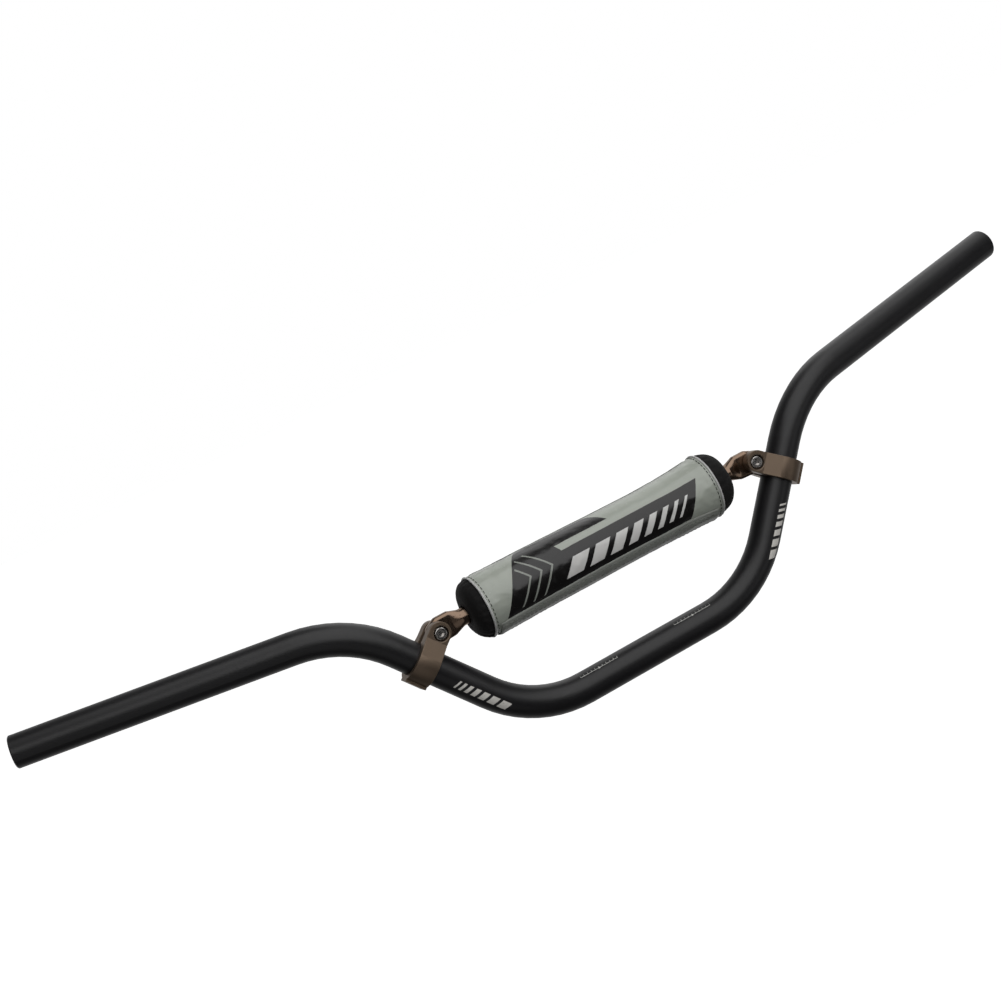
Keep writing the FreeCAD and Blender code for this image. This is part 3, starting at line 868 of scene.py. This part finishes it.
def dress_cad():
    """Materials and small bevels for the nodes whose CAD shape is shown."""
    satin = bronze_finish("bronze_anodised", rgb(0.160, 0.118, 0.085), 0.38, 0.8)
    polished = bronze_finish("bronze_polished", rgb(0.225, 0.158, 0.115), 0.18, 1.0)
    steel, black = steel_finish(), bar_finish()
    finishes = {
        "handlebar_tube": (black, 0.0),
        "crossbar": (polished, 0.0),
        "right_crossbar_clamp": (satin, 0.35 * MM),
        "left_crossbar_clamp": (satin, 0.35 * MM),
        "right_clamp_bolt": (steel, 0.12 * MM),
        "left_clamp_bolt": (steel, 0.12 * MM),
    }
    for name, (material, edge) in finishes.items():
        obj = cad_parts[name]
        obj.data.materials.clear()
        obj.data.materials.append(material)
        if edge:
            modifier(obj, "WELD", merge_threshold=0.005 * MM)
            modifier(obj, "BEVEL", width=edge, segments=3, limit_method="ANGLE",
                     angle_limit=math.radians(40))
    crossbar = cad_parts["crossbar"]
    modifier(crossbar, "REMESH", mode="VOXEL", voxel_size=0.45 * MM, use_smooth_shade=True)
    modifier(crossbar, "SMOOTH", factor=0.5, iterations=14)


# --- studio -----------------------------------------------------------------------------------
def make_camera():
    data = bpy.data.cameras.new("camera")
    data.lens, data.sensor_width = CAMERA_LENS, SENSOR
    camera = bpy.data.objects.new("camera", data)
    bpy.context.scene.collection.objects.link(camera)
    turn = Matrix((CAMERA_RIGHT, CAMERA_UP, -CAMERA_LOOK)).transposed()
    camera.matrix_world = Matrix.Translation(CAMERA_PLACE) @ turn.to_4x4()
    bpy.context.scene.camera = camera


def soft_box(name, centre, aim, width, height, radiance):
    data = bpy.data.lights.new(name, "AREA")
    data.shape = "RECTANGLE"
    data.size, data.size_y = width, height
    data.energy = 4 * width * height * radiance
    light = bpy.data.objects.new(name, data)
    bpy.context.scene.collection.objects.link(light)
    light.location = centre
    light.rotation_euler = (aim - centre).to_track_quat("-Z", "Y").to_euler()
    light.visible_camera = False
    return light


def make_studio():
    """Plain white surroundings, brightest behind the object, and six soft boxes."""
    scene = bpy.context.scene
    scene.view_settings.view_transform = "Standard"
    world = bpy.data.worlds.new("studio")
    scene.world = world
    world.use_nodes = True
    tree = world.node_tree
    background = next(n for n in tree.nodes if n.type == "BACKGROUND")
    coordinate = tree.nodes.new("ShaderNodeTexCoord")
    facing = tree.nodes.new("ShaderNodeVectorMath")
    facing.operation = "DOT_PRODUCT"
    facing.inputs[1].default_value = tuple(CAMERA_LOOK)
    tree.links.new(coordinate.outputs["Generated"], facing.inputs[0])
    fade = tree.nodes.new("ShaderNodeMapRange")
    for socket, value in zip(fade.inputs[1:5], (-0.3, 1.0, 0.0, 1.0)):
        socket.default_value = value
    tree.links.new(facing.outputs["Value"], fade.inputs[0])
    curve = tree.nodes.new("ShaderNodeMath")
    curve.operation = "POWER"
    curve.inputs[1].default_value = GLOW_POWER
    tree.links.new(fade.outputs[0], curve.inputs[0])
    glow = tree.nodes.new("ShaderNodeMath")
    glow.operation = "MULTIPLY_ADD"
    glow.inputs[1].default_value = GLOW_BRIGHT
    glow.inputs[2].default_value = GLOW_LEAST
    tree.links.new(curve.outputs[0], glow.inputs[0])
    path = tree.nodes.new("ShaderNodeLightPath")
    seen = tree.nodes.new("ShaderNodeMath")
    seen.operation = "MAXIMUM"
    tree.links.new(glow.outputs[0], seen.inputs[0])
    tree.links.new(path.outputs["Is Camera Ray"], seen.inputs[1])
    tree.links.new(seen.outputs[0], background.inputs["Strength"])
    background.inputs["Color"].default_value = rgb(1.0, 1.0, 1.0)

    middle = (cad_bounds[0] + cad_bounds[1]) / 2
    key_aim = CAMERA_UP * math.sin(KEY_LIFT) - CAMERA_LOOK * math.cos(KEY_LIFT)
    key = middle + key_aim * 1.6 + CAMERA_RIGHT * 0.35
    soft_box("key_box", key, middle + CAMERA_RIGHT * 0.35, width=2.1, height=2.70, radiance=1.06)
    wrap = soft_box("wrap_box", middle + key_aim * 1.7 + CAMERA_UP * 0.4, middle,
                    width=3.8, height=3.4, radiance=0.36)
    wrap.visible_glossy = False
    front = middle - CAMERA_LOOK * 1.9 - CAMERA_RIGHT * 0.5 + CAMERA_UP * 0.12
    soft_box("front_box", front, middle, width=0.95, height=0.85, radiance=1.1)
    top = middle + CAMERA_UP * 1.5 + CAMERA_LOOK * 0.75 + CAMERA_RIGHT * 0.2
    soft_box("top_box", top, middle, width=2.0, height=1.3, radiance=0.55)
    side = middle + CAMERA_RIGHT * 1.9 - CAMERA_LOOK * 0.75
    soft_box("side_box", side, middle, width=0.9, height=1.1, radiance=0.42)
    low = middle - CAMERA_UP * 1.2 - CAMERA_LOOK * 1.3
    soft_box("low_fill", low, middle, width=1.4, height=1.4, radiance=0.20)

    signs = ((-1, -1), (1, -1), (1, 1), (-1, 1))
    corners = [(x * FLOOR_HALF, y * FLOOR_HALF, FLOOR_Z) for x, y in signs]
    floor = new_object("floor", corners, [(0, 1, 2, 3)])
    paper = bpy.data.materials.new("floor_paper")
    paper.use_nodes = True
    shader = next(n for n in paper.node_tree.nodes if n.type == "BSDF_PRINCIPLED")
    shader.inputs["Base Color"].default_value = rgb(0.85, 0.85, 0.85)
    shader.inputs["Roughness"].default_value = 0.9
    shader.inputs["Emission Color"].default_value = rgb(1.0, 1.0, 1.0)
    shader.inputs["Emission Strength"].default_value = 0.95
    floor.data.materials.append(paper)
    floor.visible_glossy = False
    floor.visible_diffuse = False


make_camera()
make_studio()
dress_cad()
make_pad()
